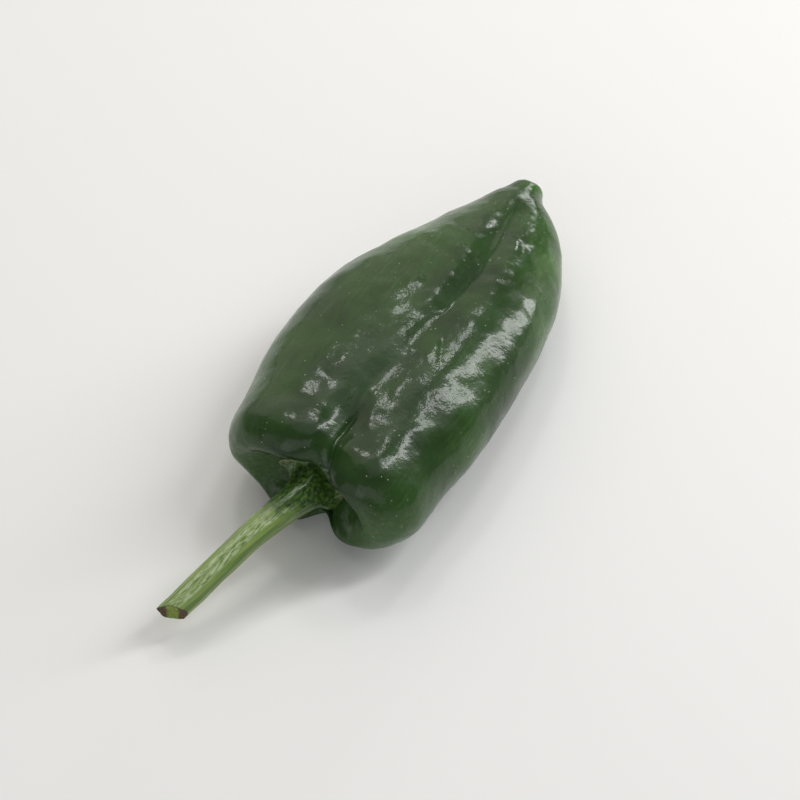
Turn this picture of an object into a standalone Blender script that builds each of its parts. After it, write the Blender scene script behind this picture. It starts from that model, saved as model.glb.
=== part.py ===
"""A poblano pepper, sold fresh as a pasilla pepper, as picked: a three-lobed pod lying on its flatter
side, and the cut stem that flares into the calyx in the basin between the lobes.

The frame has +Z up and stands on the surface under the middle of the pepper. The stem points to -Y and
the tip to +Y. The pod is drawn about the line that runs from its seat, the spot where the calyx grows
on it, towards +Y. An angle on the pod or the stem is measured about that line from +X towards +Z.
"""

import math

import bpy
import numpy as np

MM = 0.001
DEG = math.pi / 180

# Cross-sections of the pod in millimetres, from the shoulder to the tip: distance from the seat, reach to
# the left, right, top and bottom of the seat's line, and the share of the radius that the top, bottom and
# left grooves take away.
SECTIONS = [
    (8.0, 30.7, 31.3, 20.0, 17.6, 0.22, 0.20, 0.05),
    (24.0, 33.6, 33.0, 20.5, 17.8, 0.11, 0.12, 0.04),
    (42.0, 34.5, 33.0, 20.5, 17.5, 0.08, 0.10, 0.03),
    (60.0, 31.7, 31.7, 19.5, 17.4, 0.08, 0.08, 0.02),
    (77.0, 25.2, 29.3, 17.0, 17.2, 0.08, 0.07, 0.01),
    (92.0, 19.0, 25.0, 13.0, 15.0, 0.08, 0.04, 0.0),
    (104.0, 13.2, 18.5, 9.3, 10.5, 0.06, 0.04, 0.0),
    (112.5, 9.0, 10.5, 6.6, 6.6, 0.03, 0.0, 0.0),
    (117.5, 6.3, 4.4, 4.8, 4.2, 0.0, 0.0, 0.0),
    (121.0, 4.4, 2.8, 3.4, 2.8, 0.0, 0.0, 0.0),
]
SECTION_ROUNDNESS = 2.2  # 2 is an ellipse, and more is squarer
TIP_Y = 122.8
TIP_CAP = 1.3  # how far before the tip's end its cap is drawn in
TIP_CAP_SHARE = 0.6  # the share of the last cross-section's radius that is left there

# The grooves between the lobes: the angle of each, and how far from it the groove has faded to 1/e.
TOP_GROOVE, TOP_SPREAD = 78 * DEG, 24 * DEG
BOTTOM_GROOVE, BOTTOM_SPREAD = -86 * DEG, 26 * DEG
LEFT_GROOVE, LEFT_SPREAD = 188 * DEG, 32 * DEG

# The basin round the seat, and the crest of the lobes that stand in front of it. The crest stands back at
# the grooves, and two of the grooves turn a little before they reach it.
SEAT_RADIUS = 9.0
CREST_REACH = (22.0, 20.0, 12.9, 12.5)  # left, right, top, bottom
CREST_FORWARD = 8.0
CREST_FORWARD_EXTRA, CREST_EXTRA_ANGLE = 1.1, -20 * DEG  # the right lobe stands out furthest
CREST_BOTTOM_GROOVE, CREST_BOTTOM_SPREAD = -70 * DEG, 20 * DEG
CREST_LEFT_GROOVE = 206 * DEG
CREST_BACK_TOP, CREST_BACK_BOTTOM, CREST_BACK_LEFT = 4.8, 7.0, 3.3
CREST_NOTCH_TOP, CREST_NOTCH_BOTTOM = 0.16, 0.08
WALL_FORWARD, WALL_OUT = 0.42, 0.5  # a point on the basin's wall, from the seat's edge to the crest
SHOULDER_BACK, SHOULDER_OUT = 0.22, 0.72  # a point on the shoulder, from the crest to the first section

FLAT_HEIGHT = 0.55  # the pod's underside is flat up to this height, as soft flesh is where it lies
POD_SIDES = 72
POD_STEPS = [3, 4, 5, 5, 4, 5, 5, 5, 5, 5, 5, 4, 3, 3, 2, 3]  # rings after each outline

# The stem's centre line from the cut end to the calyx: x, y, z from the seat, and the radius.
STEM_ROUTE = [
    (-13.0, -52.6, -7.6, 3.45),
    (-9.4, -42.0, -3.2, 3.45),
    (-6.1, -30.5, 0.0, 3.5),
    (-2.9, -19.0, 1.8, 3.85),
    (-0.5, -10.0, 2.0, 4.6),
    (0.3, -5.0, 1.4, 5.8),
    (0.3, -2.4, 0.7, 7.3),
]
STEM_RIBS = 5
STEM_RIB_HEIGHT = 0.07
STEM_RIB_ANGLE = 16 * DEG
STEM_CUT_NORMAL = (0.30, -1.05, -0.10)
STEM_CUT_RUN = 9.0  # how far along the stem its rings still lean with the cut
STEM_RINGS = 30
STEM_SIDES = 60

# The calyx collar at the end of the stem, and its teeth: the angle of each and how far it reaches out.
COLLAR_RADIUS = 8.8
COLLAR_FRONT, COLLAR_RIM, COLLAR_BACK = -1.9, -1.2, -0.3
COLLAR_BACK_RADIUS = 7.6
TEETH = [(164 * DEG, 2.6), (88 * DEG, 0.5), (16 * DEG, 0.9), (-52 * DEG, 1.2), (-128 * DEG, 2.0)]
TOOTH_SPREAD = 14 * DEG
TOOTH_LIFT = 0.45  # how far a tooth bends away from the pod, as a share of its reach


def natural_spline(knots, at):
    """Weights, one row for each point of at, that read a natural cubic spline through values at knots."""
    count = len(knots)
    gap = np.diff(knots)
    bend, jump = np.eye(count), np.zeros((count, count))
    for i in range(1, count - 1):
        bend[i, i - 1 : i + 2] = gap[i - 1], 2 * (gap[i - 1] + gap[i]), gap[i]
        jump[i, i - 1 : i + 2] = 6 / gap[i - 1], -6 / gap[i - 1] - 6 / gap[i], 6 / gap[i]
    curvature = np.linalg.solve(bend, jump)
    value = np.eye(count)
    i = np.clip(np.searchsorted(knots, at) - 1, 0, count - 2)
    low = ((knots[i + 1] - at) / gap[i])[:, None]
    high = 1 - low
    straight = low * value[i] + high * value[i + 1]
    curved = (low**3 - low) * curvature[i] + (high**3 - high) * curvature[i + 1]
    return straight + (gap[i] ** 2 / 6)[:, None] * curved


def near(angle, centre, spread):
    """1 at the centre angle, fading to 0 away from it."""
    away = (angle - centre + math.pi) % (2 * math.pi) - math.pi
    return np.exp(-((away / spread) ** 2))


def angles(sides):
    return np.arange(sides) * 2 * math.pi / sides


def oval(angle, left, right, top, bottom):
    """(radius, centre x, centre z) of a rounded cross-section with these reaches."""
    wide = np.abs(np.cos(angle)) * 2 / (left + right)
    high = np.abs(np.sin(angle)) * 2 / (top + bottom)
    radius = (wide**SECTION_ROUNDNESS + high**SECTION_ROUNDNESS) ** (-1 / SECTION_ROUNDNESS)
    return radius, (right - left) / 2, (top - bottom) / 2


def ring(angle, y, radius, x=0.0, z=0.0):
    return np.stack([x + radius * np.cos(angle), y + 0 * angle, z + radius * np.sin(angle)], axis=-1)


def pod_outlines(angle):
    """The rings that the pod's surface passes through, from the middle of the seat to the tip."""
    top = near(angle, TOP_GROOVE, TOP_SPREAD)
    bottom = near(angle, BOTTOM_GROOVE, BOTTOM_SPREAD)
    left = near(angle, LEFT_GROOVE, LEFT_SPREAD)

    sections = []
    for y, to_left, to_right, to_top, to_bottom, top_depth, bottom_depth, left_depth in SECTIONS:
        radius, x, z = oval(angle, to_left, to_right, to_top, to_bottom)
        radius = radius * (1 - top_depth * top - bottom_depth * bottom - left_depth * left)
        sections.append((y, radius, x, z))
    first_y, first_radius, first_x, first_z = sections[0]
    _, last_radius, last_x, last_z = sections[-1]

    bottom = near(angle, CREST_BOTTOM_GROOVE, CREST_BOTTOM_SPREAD)
    left = near(angle, CREST_LEFT_GROOVE, LEFT_SPREAD)
    crest_y = -CREST_FORWARD - CREST_FORWARD_EXTRA * np.cos(angle - CREST_EXTRA_ANGLE)
    crest_y = crest_y + CREST_BACK_TOP * top + CREST_BACK_BOTTOM * bottom + CREST_BACK_LEFT * left
    crest_radius, crest_x, crest_z = oval(angle, *CREST_REACH)
    crest_radius = crest_radius * (1 - CREST_NOTCH_TOP * top - CREST_NOTCH_BOTTOM * bottom)
    wall_radius = SEAT_RADIUS + WALL_OUT * (crest_radius - SEAT_RADIUS)
    shoulder_y = crest_y + SHOULDER_BACK * (first_y - crest_y)
    shoulder_radius = crest_radius + SHOULDER_OUT * (first_radius - crest_radius)

    basin = [
        ring(angle, 0.0, 0.0 * angle),
        ring(angle, 0.0, SEAT_RADIUS),
        ring(angle, WALL_FORWARD * crest_y, wall_radius, crest_x / 2, crest_z / 2),
        ring(angle, crest_y, crest_radius, crest_x, crest_z),
        ring(angle, shoulder_y, shoulder_radius, first_x, first_z),
    ]
    body = [ring(angle, *section) for section in sections]
    tip = [
        ring(angle, TIP_Y - TIP_CAP, TIP_CAP_SHARE * last_radius, last_x, last_z),
        ring(angle, TIP_Y, 0.0 * angle, last_x, last_z),
    ]
    return np.array(basin + body + tip)


def smooth_rings(outlines, steps):
    """A smooth run of rings through the outlines, with the given number of steps between them."""
    spacing = np.linalg.norm(np.diff(outlines, axis=0), axis=2).mean(axis=1)
    knots = np.concatenate([[0.0], np.cumsum(spacing)])
    at = [np.linspace(knots[i], knots[i + 1], count, endpoint=False) for i, count in enumerate(steps)]
    at.append(knots[-1:])
    return np.einsum("ij,jkl->ikl", natural_spline(knots, np.concatenate(at)), outlines)


def loft(name, start, rings, end, material):
    """A closed mesh object, in metres: a point, rings of points in millimetres, and a point."""
    sides = len(rings[0])
    points = np.concatenate([[start], np.concatenate(rings), [end]]) * MM
    last = len(points) - 1
    faces = []
    for i in range(sides):
        following = (i + 1) % sides
        faces.append((0, 1 + i, 1 + following))
        for row in range(len(rings) - 1):
            here, there = 1 + row * sides + i, 1 + row * sides + following
            faces.append((here, here + sides, there + sides))
            faces.append((here, there + sides, there))
        faces.append((last, last - sides + following, last - sides + i))
    mesh = bpy.data.meshes.new(name)
    mesh.from_pydata(points.tolist(), [], faces)
    mesh.shade_smooth()
    mesh.materials.append(material)
    made = bpy.data.objects.new(name, mesh)
    bpy.context.scene.collection.objects.link(made)
    return made


def skin(name, colour, roughness):
    made = bpy.data.materials.new(name)
    made.use_nodes = True
    shader = made.node_tree.nodes["Principled BSDF"]
    shader.inputs["Base Color"].default_value = (*colour, 1.0)
    shader.inputs["Roughness"].default_value = roughness
    made.diffuse_color = (*colour, 1.0)
    return made


def make_pod():
    """(the pod, the height of the surface it lies on, from the seat's line, in millimetres)."""
    rings = smooth_rings(pod_outlines(angles(POD_SIDES)), POD_STEPS)
    surface = rings[..., 2].min() + FLAT_HEIGHT
    rings[..., 2] = np.maximum(rings[..., 2], surface)
    material = skin("pod_skin", (0.02, 0.07, 0.02), 0.25)
    return loft("pod", rings[0][0], rings[1:-1], rings[-1][0], material), surface


def stem_rings(angle):
    route = np.array(STEM_ROUTE)
    spacing = np.linalg.norm(np.diff(route[:, :3], axis=0), axis=1)
    knots = np.concatenate([[0.0], np.cumsum(spacing)])
    distance = np.linspace(0.0, knots[-1], STEM_RINGS)
    line = natural_spline(knots, distance) @ route
    along = np.gradient(line[:, :3], axis=0)
    along = along / np.linalg.norm(along, axis=1)[:, None]
    side = np.cross(along, (0.0, 0.0, 1.0))
    side = side / np.linalg.norm(side, axis=1)[:, None]
    up = np.cross(side, along)
    reach = line[:, 3, None] * (1 + STEM_RIB_HEIGHT * np.cos(STEM_RIBS * (angle - STEM_RIB_ANGLE)))
    across = np.cos(angle)[:, None] * side[:, None] + np.sin(angle)[:, None] * up[:, None]
    rings = line[:, None, :3] + reach[..., None] * across

    cut = np.array(STEM_CUT_NORMAL)
    slide = ((line[0, :3] - rings[0]) @ cut) / (along[0] @ cut)
    lean = np.clip(1 - distance / STEM_CUT_RUN, 0, 1)[:, None] * slide
    return rings + lean[..., None] * along[0], line[0, :3]


def collar_rings(angle):
    tooth = sum(reach * near(angle, centre, TOOTH_SPREAD) for centre, reach in TEETH)
    lift = TOOTH_LIFT * tooth
    return [
        ring(angle, COLLAR_FRONT - lift, COLLAR_RADIUS + 0.9 * tooth),
        ring(angle, COLLAR_RIM - lift, COLLAR_RADIUS + tooth),
        ring(angle, COLLAR_BACK, COLLAR_BACK_RADIUS + 0.0 * angle),
    ]


def make_stem():
    angle = angles(STEM_SIDES)
    rings, cut_middle = stem_rings(angle)
    rings = [*rings, *collar_rings(angle)]
    material = skin("stem_skin", (0.16, 0.30, 0.07), 0.45)
    return loft("stem", cut_middle, rings, (0.0, COLLAR_BACK, 0.0), material)


def main():
    for old in list(bpy.data.objects):
        bpy.data.objects.remove(old)
    pod, surface = make_pod()
    stem = make_stem()
    corners = np.array([vertex.co for made in (pod, stem) for vertex in made.data.vertices])
    middle = (corners.min(axis=0) + corners.max(axis=0)) / 2
    for made in (pod, stem):
        made.location = (-middle[0], -middle[1], -surface * MM)


main()
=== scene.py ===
"""Looks of the poblano pepper: waxy dark green skin with its creases, folds and dents, and a ribbed stem
with its calyx and its cut end. Lengths are millimetres, apart from those of the floor and the lights."""

import math

import bpy
import numpy as np
from mathutils import Matrix, Vector, noise


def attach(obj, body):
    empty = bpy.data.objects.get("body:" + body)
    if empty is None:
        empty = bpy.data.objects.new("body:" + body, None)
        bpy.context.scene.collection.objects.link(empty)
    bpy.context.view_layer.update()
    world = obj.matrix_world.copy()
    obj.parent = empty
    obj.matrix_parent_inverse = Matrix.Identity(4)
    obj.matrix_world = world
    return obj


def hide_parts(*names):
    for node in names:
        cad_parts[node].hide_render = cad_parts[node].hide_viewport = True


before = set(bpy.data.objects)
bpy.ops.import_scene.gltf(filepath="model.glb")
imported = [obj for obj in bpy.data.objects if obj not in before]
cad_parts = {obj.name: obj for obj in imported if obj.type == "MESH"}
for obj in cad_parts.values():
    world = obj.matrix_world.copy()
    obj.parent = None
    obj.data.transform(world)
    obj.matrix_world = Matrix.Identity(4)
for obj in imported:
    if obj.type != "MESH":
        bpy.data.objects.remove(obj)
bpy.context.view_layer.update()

MM = 0.001
DEG = math.pi / 180

REFINEMENTS = 2  # rounds of subdivision of each CAD surface

# The spot where the calyx grows on the pod.
SEAT = np.array([0.1, -34.5, 16.14])

# The camera: its place from the seat, and its angles in degrees.
CAMERA_PLACE = (242.4, -400.3, 648.9)
CAMERA_AZIMUTH, CAMERA_ELEVATION, CAMERA_ROLL = 28.59, 52.67, 2.09
CAMERA_LENS = 133.35

# The crease on top of the pod: y, x, depth and half width of its sharp line, and depth of the soft valley
# round it.
CREASE = [
    (-38.0, 4.4, 1.2, 0.6, 1.2),
    (-30.0, 3.7, 1.1, 0.6, 1.0),
    (-24.0, 3.8, 0.8, 0.6, 0.8),
    (-20.5, 4.2, 0.12, 0.6, 0.5),
    (-16.0, 4.8, 0.0, 0.6, 0.35),
    (0.0, 6.0, 0.0, 0.6, 0.3),
    (15.0, 7.0, 0.05, 0.6, 0.5),
    (26.0, 7.9, 0.15, 0.7, 0.7),
    (36.0, 8.4, 0.25, 0.8, 0.8),
    (46.0, 7.5, 0.42, 1.1, 0.7),
    (53.0, 6.3, 0.5, 1.2, 0.5),
    (61.0, 4.8, 0.5, 1.2, 0.5),
    (67.0, 3.4, 0.35, 1.1, 0.3),
    (72.0, 2.5, 0.0, 1.0, 0.1),
    (78.0, 2.0, 0.0, 1.0, 0.0),
]
CREASE_VALLEY_WIDTH = 3.6
CREASE_START = -42.0

# Folds and dents of the skin seen from above: start x, y, end x, y, half width, height.
FOLDS = [
    # The brow of the left lobe over the basin, the hollow behind it, and two flat patches.
    (-13.0, -35.0, -2.0, -34.0, 5.5, 0.75),
    (-14.0, -25.0, -3.0, -24.0, 3.4, -0.35),
    (-5.0, -35.0, -5.0, -31.0, 3.5, -0.22),
    (-6.5, -22.0, -6.5, -16.0, 4.0, -0.28),
    # The right lobe's side of the crease, and its shoulder.
    (7.8, -32.5, 8.2, -30.0, 2.6, 0.7),
    (5.5, -14.0, 8.0, -23.0, 2.6, 0.5),
    (18.0, -27.0, 17.0, -40.0, 5.0, 0.6),
    # The left lobe's side of the crease, and a swelling on the lobe.
    (1.0, -3.0, 2.0, 20.0, 3.6, 0.35),
    (2.0, 20.0, 1.5, 50.0, 3.2, 0.45),
    (-9.0, 18.0, -6.0, 24.0, 4.4, 0.6),
    # The line down the right lobe, with a swelling on either side.
    (10.0, 17.0, 12.5, 10.0, 1.0, -0.10),
    (12.5, 10.0, 15.2, 4.0, 1.0, -0.12),
    (8.5, 5.0, 12.0, 2.0, 2.4, 0.25),
    (17.0, 12.0, 20.0, 4.0, 2.6, 0.2),
    (6.8, 19.0, 9.0, 24.0, 0.7, -0.2),
    # Folds across the right lobe towards the tip.
    (9.0, 45.0, 21.0, 49.0, 1.9, 0.16),
    (9.5, 40.5, 21.0, 45.0, 1.8, -0.16),
    (9.5, 36.0, 21.0, 41.0, 1.9, 0.16),
    (10.0, 31.0, 20.0, 36.0, 2.0, -0.2),
    # Folds across the left lobe towards the tip.
    (-14.0, 46.0, 4.0, 43.0, 1.6, 0.2),
    (-12.0, 41.5, 4.0, 39.0, 1.6, -0.2),
    (-9.0, 52.0, 2.0, 51.0, 1.6, 0.2),
    (-6.0, 36.5, 3.0, 34.0, 1.5, 0.15),
    # Small ridges beside the crease at the tip.
    (0.5, 55.5, 0.8, 56.5, 3.6, 0.6),
    (9.5, 57.5, 11.5, 53.5, 1.6, 0.35),
    (14.5, 57.0, 16.5, 54.0, 1.4, 0.3),
]

# The skin's unevenness: size, height and seed of each kind of swelling. The two lobes meet at the crease.
LEFT_SWELLINGS = [(11.0, 0.40, 242.0), (5.5, 0.18, 28.5)]
RIGHT_SWELLINGS = [(11.0, 0.40, 66.0), (5.5, 0.18, 12.5)]
FINE_SWELLINGS = [(2.6, 0.08, 5.0)]
LOBES_MEET = 3.0  # how far to each side of the crease one lobe's swellings pass into the other's
SEED_SHIFT = np.array([1.7, 2.3, 3.1])  # how far apart the noise of two seeds is read

REST_HEIGHT = 1.5  # the skin has no folds or swellings this near to the surface that it lies on

# Where the skin is a lighter, yellower green, partly its own tone and partly painted light on the front faces
# and along the sides: x, y, z, reach and how much.
PALE_AND_LIT_PLACES = [
    (30.0, 40.0, 16.0, 15.0, 0.8),
    (31.0, -8.0, 20.0, 9.0, 0.6),
    (22.0, 8.0, 32.0, 11.0, 0.3),
    (29.0, -39.0, 16.0, 13.0, 0.65),
    (21.0, 60.0, 22.0, 9.0, 0.7),
    (11.0, 72.0, 20.0, 8.0, 0.5),
    (-30.0, -10.0, 16.0, 18.0, 0.8),
    (-27.0, -26.0, 24.0, 9.0, 0.3),
    (-20.0, -41.0, 14.0, 13.0, 0.55),
    (-18.0, 20.0, 33.0, 13.0, 0.22),
    (-3.0, 22.0, 35.0, 8.0, 0.15),
    (-20.0, 45.0, 20.0, 16.0, 1.0),
    (-9.0, 70.0, 20.0, 9.0, 0.4),
    (3.0, 87.0, 18.0, 5.0, 1.6),
    (10.0, -40.0, 8.0, 10.0, 0.3),
]

# The stem from the calyx to the cut end. A turn is an angle about its middle, from +X towards +Z.
STEM_FREE_Y = -41.0  # its middle is measured up to here, and is drawn to the seat from here
STEM_CURVE_DEGREE = 4
STEM_RADIUS = 3.6
STEM_GRAIN = [(0.9, 0.26, 0.0), (0.45, 0.14, 4.0)]
STEM_GRAIN_STRETCH = 9.0
CALYX_GRAIN = [(1.6, 0.35, 0.0), (0.7, 0.16, 2.0)]
CALYX_LENGTH, CALYX_FADE = 4.0, 8.0
CALYX_SECTORS = 60
RIM_REACH = 6.0  # the calyx's rim lies within this distance of the seat along the stem
MARGIN_WIDTH = 0.6

# The ridge on top of the stem: height, spread in radians, and its turn in degrees, which changes with y.
RIDGE_HEIGHT, RIDGE_SPREAD = 0.22, 0.14
RIDGE_TURN, RIDGE_TURN_Y, RIDGE_TWIST = 84.0, -60.0, -0.5

# Bands of painted highlight streaks along the stem: turn near the calyx, turn near the cut end, half width in
# degrees, and how much. The band below 0 is darker than the stem. They turn between these two places.
STEM_BANDS = [
    (45.0, 68.0, 14.0, 1.0),
    (90.0, 104.0, 15.0, 0.9),
    (15.0, 27.0, 12.0, -0.5),
    (140.0, 150.0, 8.0, 0.3),
]
BANDS_TURN_Y, BANDS_TURN_RUN = -42.0, 16.0

# The dark neck of the stem, partly its own darker green and partly painted shade of the basin: the y where it
# begins, how far further it reaches at one turn, and its fade.
NECK_Y, NECK_LEAN, NECK_LEAN_TURN, NECK_FADE = -57.0, 6.0, 110.0, 13.0

# The cut end: height, place from 0 in the middle to 1 at the rim, and spread, of its lip and of its hollow.
CUT_NORMAL = (0.30, -1.05, -0.10)
CUT_RINGS = 10
CUT_SHAPE = [(0.25, 0.86, 0.12), (-0.35, 0.3, 0.4)]
CUT_GRAIN = [(0.9, 0.30, 0.0), (0.35, 0.12, 2.0)]
CUT_RIM_POWER = 6  # higher keeps the relief closer to the rim
CUT_TOLERANCE = 0.01

# Colours of the skin, the stem and the cut end.
# The skin's paler green is partly its own tone and partly painted light.
SKIN_DARK, SKIN_LIGHT, SKIN_PALE_AND_LIT = (0.0125, 0.032, 0.0075), (0.021, 0.055, 0.012), (0.050, 0.128, 0.024)
# The streak colour on the skin is a painted reflection.
SKIN_PAINTED_REFLECTION, SKIN_SPECK, SKIN_PIT = (0.10, 0.20, 0.06), (0.42, 0.50, 0.36), (0.004, 0.010, 0.003)
STEM_DARK, STEM_LIGHT, STEM_SHADE = (0.15, 0.245, 0.055), (0.235, 0.335, 0.08), (0.12, 0.19, 0.055)
# The stem's streak colour is a painted highlight.
STEM_PAINTED_HIGHLIGHT, CALYX_MARGIN = (0.46, 0.56, 0.32), (0.34, 0.31, 0.15)
# The neck's dark colour is partly the stem's own darker green, partly painted shade of the basin.
NECK_DARK_AND_SHADE, NECK_LIGHT = (0.018, 0.048, 0.006), (0.065, 0.14, 0.022)
PITH_DARK, PITH_LIGHT = (0.15, 0.20, 0.03), (0.25, 0.33, 0.07)
BROWN_DARK, BROWN_LIGHT = (0.045, 0.028, 0.012), (0.13, 0.09, 0.05)
FLOOR_COLOUR = (0.86, 0.86, 0.855, 1.0)

# The studio: name, azimuth from +Y towards +X and elevation in degrees, distance, width and height in metres,
# brightness of its face, and colour.
FLOOR_REACH = 3.0
WHITE, WARM = (1.0, 1.0, 1.0), (1.0, 0.93, 0.82)
LIGHTS = [
    ("strip", 38.0, 36.0, 1.2, 0.15, 1.16, 16.0, WHITE),
    ("softbox", -4.0, 51.0, 1.2, 0.15, 0.15, 15.0, WHITE),
    ("side_box", -42.0, 59.0, 1.2, 0.15, 0.14, 15.0, WHITE),
    ("tip_light", -9.0, 14.0, 1.2, 0.20, 0.16, 10.0, WHITE),
    ("tip_scrim", 24.0, 14.0, 1.7, 0.7, 0.5, 0.9, WARM),
    ("scrim", -52.0, 40.0, 1.6, 2.0, 2.2, 0.85, WARM),
    ("overhead", 20.0, 80.0, 1.6, 1.2, 1.2, 0.6, WHITE),
    ("fill", 160.0, 32.0, 1.6, 1.6, 1.0, 0.9, WHITE),
    ("front", -165.0, 16.0, 1.6, 1.6, 0.7, 0.7, WHITE),
]
WORLD_COLOUR, WORLD_STRENGTH = (0.97, 0.98, 1.0, 1.0), 0.15


def near(value, centre, spread):
    """1 at the centre, fading to 0 away from it."""
    return np.exp(-(((value - centre) / spread) ** 2))


def unit(vector):
    return np.array(vector) / np.linalg.norm(vector)


def curve_through(rows, at):
    """Each column of rows after the first, read at the first column's values along a smooth curve."""
    rows = np.array(rows, float)
    knots, values = rows[:, 0], rows[:, 1:]
    slope = np.gradient(values, knots, axis=0)
    at = np.clip(at, knots[0], knots[-1])
    i = np.clip(np.searchsorted(knots, at) - 1, 0, len(knots) - 2)
    gap = knots[i + 1] - knots[i]
    t = ((at - knots[i]) / gap)[:, None]
    gap = gap[:, None]
    return (
        (1 + 2 * t) * (1 - t) ** 2 * values[i]
        + t * (1 - t) ** 2 * gap * slope[i]
        + t**2 * (3 - 2 * t) * values[i + 1]
        - t**2 * (1 - t) * gap * slope[i + 1]
    ).T


def cad_surface(name):
    """(points in millimetres, triangles) of a CAD node, with the corners of its faces joined up."""
    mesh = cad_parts[name].data
    mesh.calc_loop_triangles()
    points = np.array([vertex.co for vertex in mesh.vertices]) / MM
    triangles = np.array([triangle.vertices for triangle in mesh.loop_triangles])
    _, first, same = np.unique(points.round(3), axis=0, return_index=True, return_inverse=True)
    return points[first], same.reshape(-1)[triangles]


def edges_of(triangles):
    """(edges, the edge of each side of each triangle, how many triangles use each edge)."""
    sides = np.sort(triangles[:, [0, 1, 1, 2, 2, 0]].reshape(-1, 2), axis=1)
    edges, edge_of, uses = np.unique(sides, axis=0, return_inverse=True, return_counts=True)
    return edges, edge_of.reshape(-1), uses


def refined(points, triangles):
    """One round of Loop subdivision. An open edge stays a smooth curve of its own."""
    edges, edge_of, uses = edges_of(triangles)
    opposite = np.zeros((len(edges), 3))
    np.add.at(opposite, edge_of, points[triangles[:, [2, 0, 1]].reshape(-1)])
    ends = points[edges].sum(axis=1)
    rim = uses == 1
    middle = np.where(rim[:, None], ends / 2, ends * 3 / 8 + opposite / 8)

    neighbours, total = np.zeros(len(points)), np.zeros_like(points)
    for here, there in (edges.T, edges.T[::-1]):
        np.add.at(neighbours, here, 1)
        np.add.at(total, here, points[there])
    share = np.where(neighbours == 3, 3 / 16, 3 / (8 * neighbours))[:, None]
    moved = (1 - neighbours[:, None] * share) * points + share * total
    rim_total = np.zeros_like(points)
    for here, there in (edges[rim].T, edges[rim].T[::-1]):
        np.add.at(rim_total, here, points[there])
    on_rim = np.unique(edges[rim])
    moved[on_rim] = points[on_rim] * 3 / 4 + rim_total[on_rim] / 8

    a, b, c = triangles.T
    ab, bc, ca = edge_of.reshape(-1, 3).T + len(points)
    parts = np.stack([a, ab, ca, ab, b, bc, ca, bc, c, ab, bc, ca], axis=1)
    return np.concatenate([moved, middle]), parts.reshape(-1, 3)


def finely_refined(points, triangles):
    for _ in range(REFINEMENTS):
        points, triangles = refined(points, triangles)
    return points, triangles


def normals_of(points, triangles):
    corners = points[triangles]
    face = np.cross(corners[:, 1] - corners[:, 0], corners[:, 2] - corners[:, 0])
    total = np.zeros_like(points)
    for corner in range(3):
        np.add.at(total, triangles[:, corner], face)
    return total / np.linalg.norm(total, axis=1)[:, None]


def relief(points, layers):
    """The height of smooth noise in layers: size, height and seed of each."""
    rise = 0.0
    for size, height, seed in layers:
        places = points / size + seed * SEED_SHIFT
        rise = rise + height * np.array([noise.noise(Vector(place)) for place in places])
    return rise


def mesh_object(name, points, triangles, materials, material_of=None, **stored):
    """A mesh object in metres. stored gives each point values that the material reads by their name."""
    mesh = bpy.data.meshes.new(name)
    mesh.from_pydata((points * MM).tolist(), [], triangles.tolist())
    mesh.shade_smooth()
    for material in materials:
        mesh.materials.append(material)
    if material_of is not None:
        mesh.polygons.foreach_set("material_index", material_of)
    for key, values in stored.items():
        kind, field = ("FLOAT_VECTOR", "vector") if values.ndim == 2 else ("FLOAT", "value")
        attribute = mesh.attributes.new(key, kind, "POINT")
        attribute.data.foreach_set(field, values.astype(np.float32).ravel())
    made = bpy.data.objects.new(name, mesh)
    bpy.context.scene.collection.objects.link(made)
    return made


def swellings(points):
    """How far the skin rises at each point from its unevenness."""
    from_crease = points[:, 0] - curve_through(CREASE, points[:, 1])[0]
    share = np.clip(0.5 + from_crease / (2 * LOBES_MEET), 0, 1)
    share = share**2 * (3 - 2 * share)
    left, right = relief(points, LEFT_SWELLINGS), relief(points, RIGHT_SWELLINGS)
    return left + share * (right - left) + relief(points, FINE_SWELLINGS)


def crease(points):
    """How far the crease on top sinks at each point."""
    x, line, width, valley = curve_through(CREASE, points[:, 1])
    away = points[:, 0] - x
    sunk = line * near(away, 0, width) + valley * near(away, 0, CREASE_VALLEY_WIDTH)
    return sunk * (points[:, 1] > CREASE_START)


def folds(points):
    """How far the skin rises at each point from its folds and dents."""
    height = np.zeros(len(points))
    for x0, y0, x1, y1, width, rise in FOLDS:
        start, run = np.array([x0, y0]), np.array([x1 - x0, y1 - y0])
        share = np.clip((points[:, :2] - start) @ run / (run @ run), 0, 1)
        away = np.linalg.norm(points[:, :2] - start - share[:, None] * run, axis=1)
        height += rise * near(away, 0, width)
    return height


# The share of the paler green at each point: partly the skin's own tone, partly painted light.
def pale_share(points):
    share = np.zeros(len(points))
    for x, y, z, reach, much in PALE_AND_LIT_PLACES:
        share += much * near(np.linalg.norm(points - (x, y, z), axis=1), 0, reach)
    return share


def make_pod():
    points, triangles = finely_refined(*cad_surface("pod"))
    normals = normals_of(points, triangles)
    on_top = np.clip(normals[:, 2] * 2, 0, 1)
    rise = swellings(points) + on_top * (folds(points) - crease(points))
    free = 1 - near(points[:, 2], 0.0, REST_HEIGHT)
    # The paler green, partly painted light, is kept on the points for the material.
    pale = pale_share(points)
    points = points + (free * rise)[:, None] * normals
    points[:, 2] = np.maximum(points[:, 2], 0.0)
    return mesh_object("pod_skin", points, triangles, [pod_material()], pale=pale)


def stem_axis(points):
    """x and z of the stem's middle at each point's y."""
    free = points[:, 1] < STEM_FREE_Y
    y = points[:, 1] - STEM_FREE_Y
    to_seat = np.clip(y / (SEAT[1] - STEM_FREE_Y), 0, 1)
    axis = []
    for i in (0, 2):
        curve = np.polyfit(y[free], points[free, i], STEM_CURVE_DEGREE)
        middle = np.polyval(curve, np.minimum(y, 0))
        axis.append(middle + to_seat * (SEAT[i] - middle))
    return axis


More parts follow.
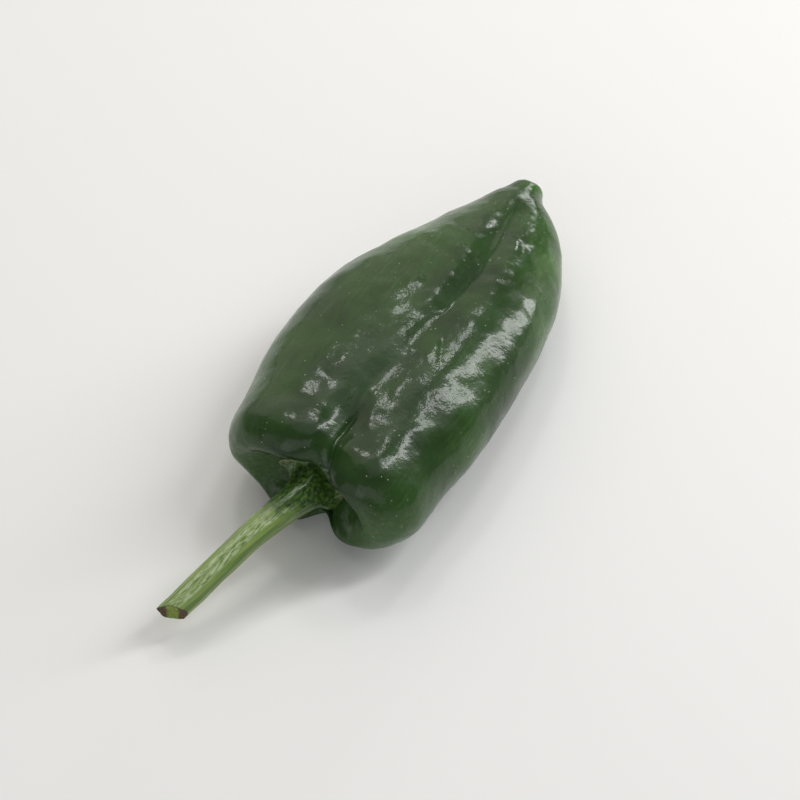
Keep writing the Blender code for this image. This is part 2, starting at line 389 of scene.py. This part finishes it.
def cut_face(points, triangles):
    """(points, triangles, texture places) that close an open stem with rings from its rim to its middle."""
    edges, _, uses = edges_of(triangles)
    rim = np.unique(edges[uses == 1])
    middle = points[rim].mean(axis=0)
    out = unit(CUT_NORMAL)
    across = unit(np.cross((0.0, 0.0, 1.0), out))
    above = np.cross(out, across)
    spoke = points[rim] - middle
    order = np.argsort(np.arctan2(spoke @ above, spoke @ across))
    rim, spoke = rim[order], spoke[order]

    share = 1 - (np.arange(1, CUT_RINGS + 1) / (CUT_RINGS + 1))[:, None, None]
    flat = np.concatenate([(middle + share * spoke).reshape(-1, 3), [middle]])
    reach = np.concatenate([np.repeat(share.ravel(), len(rim)), [0.0]])
    rise = relief(flat, CUT_GRAIN)
    for height, centre, spread in CUT_SHAPE:
        rise += height * near(reach, centre, spread)
    made = flat + (rise * (1 - reach**CUT_RIM_POWER))[:, None] * out

    rings = np.concatenate([rim, len(points) + np.arange(CUT_RINGS * len(rim))]).reshape(CUT_RINGS + 1, -1)
    hub = np.full(len(rim), len(points) + CUT_RINGS * len(rim))
    following = np.roll(np.arange(len(rim)), -1)
    faces = []
    for outer, inner in zip(rings[:-1], rings[1:]):
        faces.append(np.stack([outer, outer[following], inner[following]], axis=1))
        faces.append(np.stack([outer, inner[following], inner], axis=1))
    faces.append(np.stack([rings[-1], rings[-1][following], hub], axis=1))
    pattern = np.stack([(flat - middle) @ across, (flat - middle) @ above, 0 * reach], axis=1)
    return made, np.concatenate(faces), pattern


def rim_distance(points, cad_points):
    """How far each point is from the rim of the calyx."""
    spoke = cad_points[:, [0, 2]] - SEAT[[0, 2]]
    turn, reach = np.arctan2(spoke[:, 1], spoke[:, 0]), np.linalg.norm(spoke, axis=1)
    sector = np.round((turn + math.pi) / (2 * math.pi) * CALYX_SECTORS).astype(int) % CALYX_SECTORS
    behind = cad_points[:, 1] > SEAT[1] - RIM_REACH
    rim = []
    for k in range(CALYX_SECTORS):
        inside = np.flatnonzero((sector == k) & behind)
        if len(inside):
            rim.append(cad_points[inside[np.argmax(reach[inside])]])
    rim = np.array(rim)
    to_next = np.roll(rim, -1, axis=0) - rim
    rim = np.concatenate([rim + share * to_next for share in (0, 0.25, 0.5, 0.75)])
    away = np.full(len(points), np.inf)
    for place in rim:
        away = np.minimum(away, np.linalg.norm(points - place, axis=1))
    return away


def stem_relief(points, turn, wrapped):
    """How far the stem and the calyx rise at each point from their grain and the stem's ridge."""
    free = np.clip((SEAT[1] - CALYX_LENGTH - points[:, 1]) / CALYX_FADE, 0, 1)
    ridge_turn = (RIDGE_TURN + RIDGE_TWIST * (points[:, 1] - RIDGE_TURN_Y)) * DEG
    ridge = RIDGE_HEIGHT * near(turn, ridge_turn, RIDGE_SPREAD)
    return free * (relief(wrapped, STEM_GRAIN) + ridge) + (1 - free) * relief(points, CALYX_GRAIN)


def band_strength(points, turn):
    """How much of the painted highlight streaks, or below 0 of the darker band, each point has."""
    strength = np.zeros(len(points))
    to_cut = np.clip((BANDS_TURN_Y - points[:, 1]) / BANDS_TURN_RUN, 0, 1)
    for near_calyx, near_cut, width, much in STEM_BANDS:
        centre = near_calyx + to_cut * (near_cut - near_calyx)
        strength += much * near((turn / DEG - centre + 180) % 360 - 180, 0, width)
    return strength


def make_stem():
    cad_points, triangles = cad_surface("stem")
    height = cad_points @ unit(CUT_NORMAL)
    on_cut = (height[triangles] > height.max() - CUT_TOLERANCE).all(axis=1)
    points, triangles = finely_refined(cad_points, triangles[~on_cut])
    normals = normals_of(points, triangles)

    x, z = stem_axis(points)
    turn = np.arctan2(points[:, 2] - z, points[:, 0] - x)
    around = STEM_RADIUS * np.stack([np.cos(turn), np.sin(turn)])
    wrapped = np.stack([around[0], points[:, 1] / STEM_GRAIN_STRETCH, around[1]], axis=1)
    points = points + stem_relief(points, turn, wrapped)[:, None] * normals
    pattern = np.stack([around[0], points[:, 1], around[1]], axis=1)
    margin = near(rim_distance(points, cad_points), 0, MARGIN_WIDTH)
    bands = band_strength(points, turn)
    lean = NECK_LEAN * np.cos(turn - NECK_LEAN_TURN * DEG)
    neck = np.clip((points[:, 1] - NECK_Y + lean) / NECK_FADE, 0, 1)

    cut_points, cut_triangles, cut_pattern = cut_face(points, triangles)
    material_of = np.repeat([0, 1], [len(triangles), len(cut_triangles)])
    none = np.zeros(len(cut_points))
    return mesh_object(
        "stem_skin",
        np.concatenate([points, cut_points]),
        np.concatenate([triangles, cut_triangles]),
        [stem_material(), cut_material()],
        material_of,
        pattern=np.concatenate([pattern, cut_pattern]),
        margin=np.concatenate([margin, none]),
        bands=np.concatenate([bands, none]),
        neck=np.concatenate([neck, none]),
    )


class Nodes:
    """A short way to add shader nodes to a material and to link them."""

    def __init__(self, name, **shader):
        self.material = bpy.data.materials.new(name)
        self.material.use_nodes = True
        self.tree = self.material.node_tree
        self.shader = self.tree.nodes["Principled BSDF"]
        for key, value in shader.items():
            self.shader.inputs[key.replace("_", " ")].default_value = value

    def put(self, value, socket):
        """Links an output to the socket, or sets the socket to a number or colour."""
        if isinstance(value, bpy.types.NodeSocket):
            self.tree.links.new(value, socket)
        elif isinstance(value, tuple) and len(value) == 3 and socket.type == "RGBA":
            socket.default_value = (*value, 1.0)
        else:
            socket.default_value = value

    def add(self, kind, *inputs, **settings):
        made = self.tree.nodes.new(kind)
        for key, value in settings.items():
            setattr(made, key, value)
        for socket, value in zip(made.inputs, inputs):
            self.put(value, socket)
        return made

    def place(self):
        """The point's place in metres."""
        return self.add("ShaderNodeTexCoord").outputs["Object"]

    def stored(self, name, output="Fac"):
        """A value that the mesh holds for each of its points."""
        return self.add("ShaderNodeAttribute", attribute_name=name).outputs[output]

    def scaled(self, vector, x, y, z):
        return self.add("ShaderNodeVectorMath", vector, (x, y, z), operation="MULTIPLY").outputs[0]

    def part(self, vector, axis):
        return self.add("ShaderNodeSeparateXYZ", vector).outputs[axis]

    def math(self, operation, *values):
        return self.add("ShaderNodeMath", *values, operation=operation).outputs[0]

    def step(self, value, low, high, to_low=0.0, to_high=1.0):
        """A smooth step of the value from to_low at low to to_high at high."""
        inputs = (value, low, high, to_low, to_high)
        return self.add("ShaderNodeMapRange", *inputs, interpolation_type="SMOOTHSTEP").outputs[0]

    def noise(self, size, detail=2.0, at=None, unit=MM):
        """Noise from 0 to 1 with features of about that size in millimetres."""
        made = self.add("ShaderNodeTexNoise")
        self.put(at or self.place(), made.inputs["Vector"])
        self.put(1 / (size * unit), made.inputs["Scale"])
        self.put(detail, made.inputs["Detail"])
        return made.outputs["Fac"]

    def dots(self, spacing, full, gone):
        """1 inside small dots about spacing apart. full and gone are distances from a dot's middle."""
        made = self.add("ShaderNodeTexVoronoi")
        self.put(self.place(), made.inputs["Vector"])
        self.put(1 / (spacing * MM), made.inputs["Scale"])
        return self.step(made.outputs["Distance"], full, gone, 1.0, 0.0)

    def mix(self, share, first, second):
        made = self.add("ShaderNodeMix", data_type="RGBA")
        self.put(share, made.inputs[0])
        self.put(first, made.inputs[6])
        self.put(second, made.inputs[7])
        return made.outputs[2]

    def bump(self, height, distance, below=None):
        """A normal that stands for a relief of the height, from 0 to 1, times distance millimetres."""
        made = self.add("ShaderNodeBump")
        self.put(distance * MM, made.inputs["Distance"])
        self.put(height, made.inputs["Height"])
        if below:
            self.put(below, made.inputs["Normal"])
        return made.outputs["Normal"]

    def finish(self, **inputs):
        for key, value in inputs.items():
            self.put(value, self.shader.inputs[key.replace("_", " ")])
        return self.material


def pod_material():
    """Waxy dark green skin: mottled green, a paler green that is partly painted light, painted reflection
    streaks, specks, small dark pits, and an uneven gloss.
    """
    nodes = Nodes("pod_skin", IOR=1.28, Coat_Weight=0.28, Coat_Roughness=0.09)
    mottle = nodes.step(nodes.noise(11.0, detail=4.0), 0.34, 0.68)
    colour = nodes.mix(mottle, SKIN_DARK, SKIN_LIGHT)
    # The paler green is partly the skin's own tone, partly painted light on the front faces and sides.
    colour = nodes.mix(nodes.stored("pale"), colour, SKIN_PALE_AND_LIT)
    # Streaks along the pod where it is paler: painted reflection streaks.
    painted_streak = nodes.noise(1.1, at=nodes.scaled(nodes.place(), 1.0, 0.12, 1.0))
    painted_streak = nodes.math("MULTIPLY", nodes.step(painted_streak, 0.52, 0.66), nodes.stored("pale"))
    colour = nodes.mix(nodes.math("MULTIPLY", painted_streak, 0.5), colour, SKIN_PAINTED_REFLECTION)
    speck = nodes.math("MULTIPLY", nodes.dots(2.2, 0.05, 0.10), nodes.step(nodes.noise(9.0), 0.48, 0.56))
    colour = nodes.mix(nodes.math("MULTIPLY", speck, 0.8), colour, SKIN_SPECK)
    pit = nodes.dots(3.7, 0.05, 0.09)
    colour = nodes.mix(nodes.math("MULTIPLY", pit, 0.7), colour, SKIN_PIT)
    rough = nodes.step(nodes.noise(6.0, detail=3.0), 0.3, 0.7, 0.24, 0.34)
    normal = nodes.bump(nodes.noise(1.2), 0.06)
    normal = nodes.bump(nodes.noise(0.45, detail=1.0), 0.016, below=normal)
    return nodes.finish(Base_Color=colour, Roughness=rough, Normal=normal, Coat_Normal=normal)


def stem_material():
    """Ribbed green stem with bands of broken streaks that are painted highlights, dark and mottled where it
    flares to the calyx, partly with painted shade of the basin.
    """
    nodes = Nodes("stem_skin", IOR=1.45, Coat_Weight=0.3, Coat_Roughness=0.12)
    pattern = nodes.stored("pattern", "Vector")
    grain = nodes.scaled(pattern, 1.0, 0.08, 1.0)
    rib = nodes.noise(1.3, at=grain, unit=1.0)
    colour = nodes.mix(nodes.step(rib, 0.36, 0.64), STEM_DARK, STEM_LIGHT)
    bands = nodes.stored("bands")
    colour = nodes.mix(nodes.step(bands, -0.1, -0.5), colour, STEM_SHADE)
    broken = nodes.noise(0.36, detail=3.0, at=nodes.scaled(pattern, 1.0, 0.17, 1.0), unit=1.0)
    # Broken streaks in the bands: painted highlights.
    painted_streak = nodes.math("MULTIPLY", nodes.step(broken, 0.38, 0.58), nodes.step(bands, 0.1, 0.8))
    colour = nodes.mix(painted_streak, colour, STEM_PAINTED_HIGHLIGHT)
    # Dark mottle at the neck: partly the stem's own darker green, partly painted shade of the basin.
    mottle = nodes.step(nodes.noise(1.1, detail=3.0), 0.38, 0.64)
    mottle = nodes.mix(mottle, NECK_DARK_AND_SHADE, NECK_LIGHT)
    uneven = nodes.math("MULTIPLY", nodes.math("SUBTRACT", nodes.noise(2.4, detail=3.0), 0.5), 0.7)
    neck = nodes.step(nodes.math("ADD", nodes.stored("neck"), uneven), 0.3, 0.95)
    colour = nodes.mix(neck, colour, mottle)
    colour = nodes.mix(nodes.stored("margin"), colour, CALYX_MARGIN)
    normal = nodes.bump(nodes.noise(0.35, at=grain, unit=1.0), 0.07)
    normal = nodes.bump(broken, 0.10, below=normal)
    return nodes.finish(Base_Color=colour, Roughness=0.3, Normal=normal, Coat_Normal=normal)


def cut_material():
    """The cut end: green pith between two browned sides."""
    nodes = Nodes("stem_cut", IOR=1.4)
    place = nodes.stored("pattern", "Vector")
    grain = nodes.noise(0.7, detail=4.0, at=place, unit=1.0)
    from_middle = nodes.math("ABSOLUTE", nodes.part(place, 0))
    uneven = nodes.math("MULTIPLY", nodes.math("SUBTRACT", grain, 0.5), 2.2)
    side = nodes.step(nodes.math("ADD", from_middle, uneven), 1.3, 2.0)
    light = nodes.step(grain, 0.3, 0.7)
    pith = nodes.mix(light, PITH_DARK, PITH_LIGHT)
    brown = nodes.mix(light, BROWN_DARK, BROWN_LIGHT)
    colour = nodes.mix(side, pith, brown)
    return nodes.finish(Base_Color=colour, Roughness=0.7, Normal=nodes.bump(grain, 0.2))


def floor_material():
    return Nodes("floor", Base_Color=FLOOR_COLOUR, Roughness=0.8).material


def add_floor():
    mesh = bpy.data.meshes.new("floor")
    corners = [(x * FLOOR_REACH, y * FLOOR_REACH, 0) for x, y in ((-1, -1), (1, -1), (1, 1), (-1, 1))]
    mesh.from_pydata(corners, [], [(0, 1, 2, 3)])
    mesh.materials.append(floor_material())
    floor = bpy.data.objects.new("floor", mesh)
    bpy.context.scene.collection.objects.link(floor)


def add_light(name, azimuth, elevation, distance, wide, high, brightness, colour):
    """A soft box that faces the middle of the pepper's place on the floor."""
    a, e = azimuth * DEG, elevation * DEG
    back = Vector((math.sin(a) * math.cos(e), math.cos(a) * math.cos(e), math.sin(e)))
    data = bpy.data.lights.new(name, "AREA")
    data.shape, data.size, data.size_y = "RECTANGLE", wide, high
    data.energy = brightness * math.pi * wide * high
    data.color = colour
    light = bpy.data.objects.new(name, data)
    light.rotation_euler = back.to_track_quat("Z", "Y").to_euler()
    light.location = back * distance
    bpy.context.scene.collection.objects.link(light)


def add_world():
    world = bpy.data.worlds.new("studio")
    world.use_nodes = True
    background = world.node_tree.nodes["Background"]
    background.inputs["Color"].default_value = WORLD_COLOUR
    background.inputs["Strength"].default_value = WORLD_STRENGTH
    bpy.context.scene.world = world


def add_camera():
    a, e, roll = CAMERA_AZIMUTH * DEG, CAMERA_ELEVATION * DEG, CAMERA_ROLL * DEG
    back = Vector((math.sin(a) * math.cos(e), -math.cos(a) * math.cos(e), math.sin(e)))
    level = Vector((math.cos(a), math.sin(a), 0.0))
    above = back.cross(level)
    right = level * math.cos(roll) + above * math.sin(roll)
    up = above * math.cos(roll) - level * math.sin(roll)
    turn = Matrix((right, up, back)).transposed().to_4x4()
    data = bpy.data.cameras.new("camera")
    data.lens = CAMERA_LENS
    camera = bpy.data.objects.new("camera", data)
    camera.matrix_world = Matrix.Translation(Vector((SEAT + CAMERA_PLACE) * MM)) @ turn
    bpy.context.scene.collection.objects.link(camera)
    bpy.context.scene.camera = camera


def main():
    pod = make_pod()
    stem = make_stem()
    for piece, node, slot in ((pod, "pod", "pod_skin"), (stem, "stem", "stem_skin")):
        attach(piece, "root")
        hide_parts(node)
    add_floor()
    for light in LIGHTS:
        add_light(*light)
    add_world()
    add_camera()
    bpy.context.scene.view_settings.view_transform = "Standard"


main()
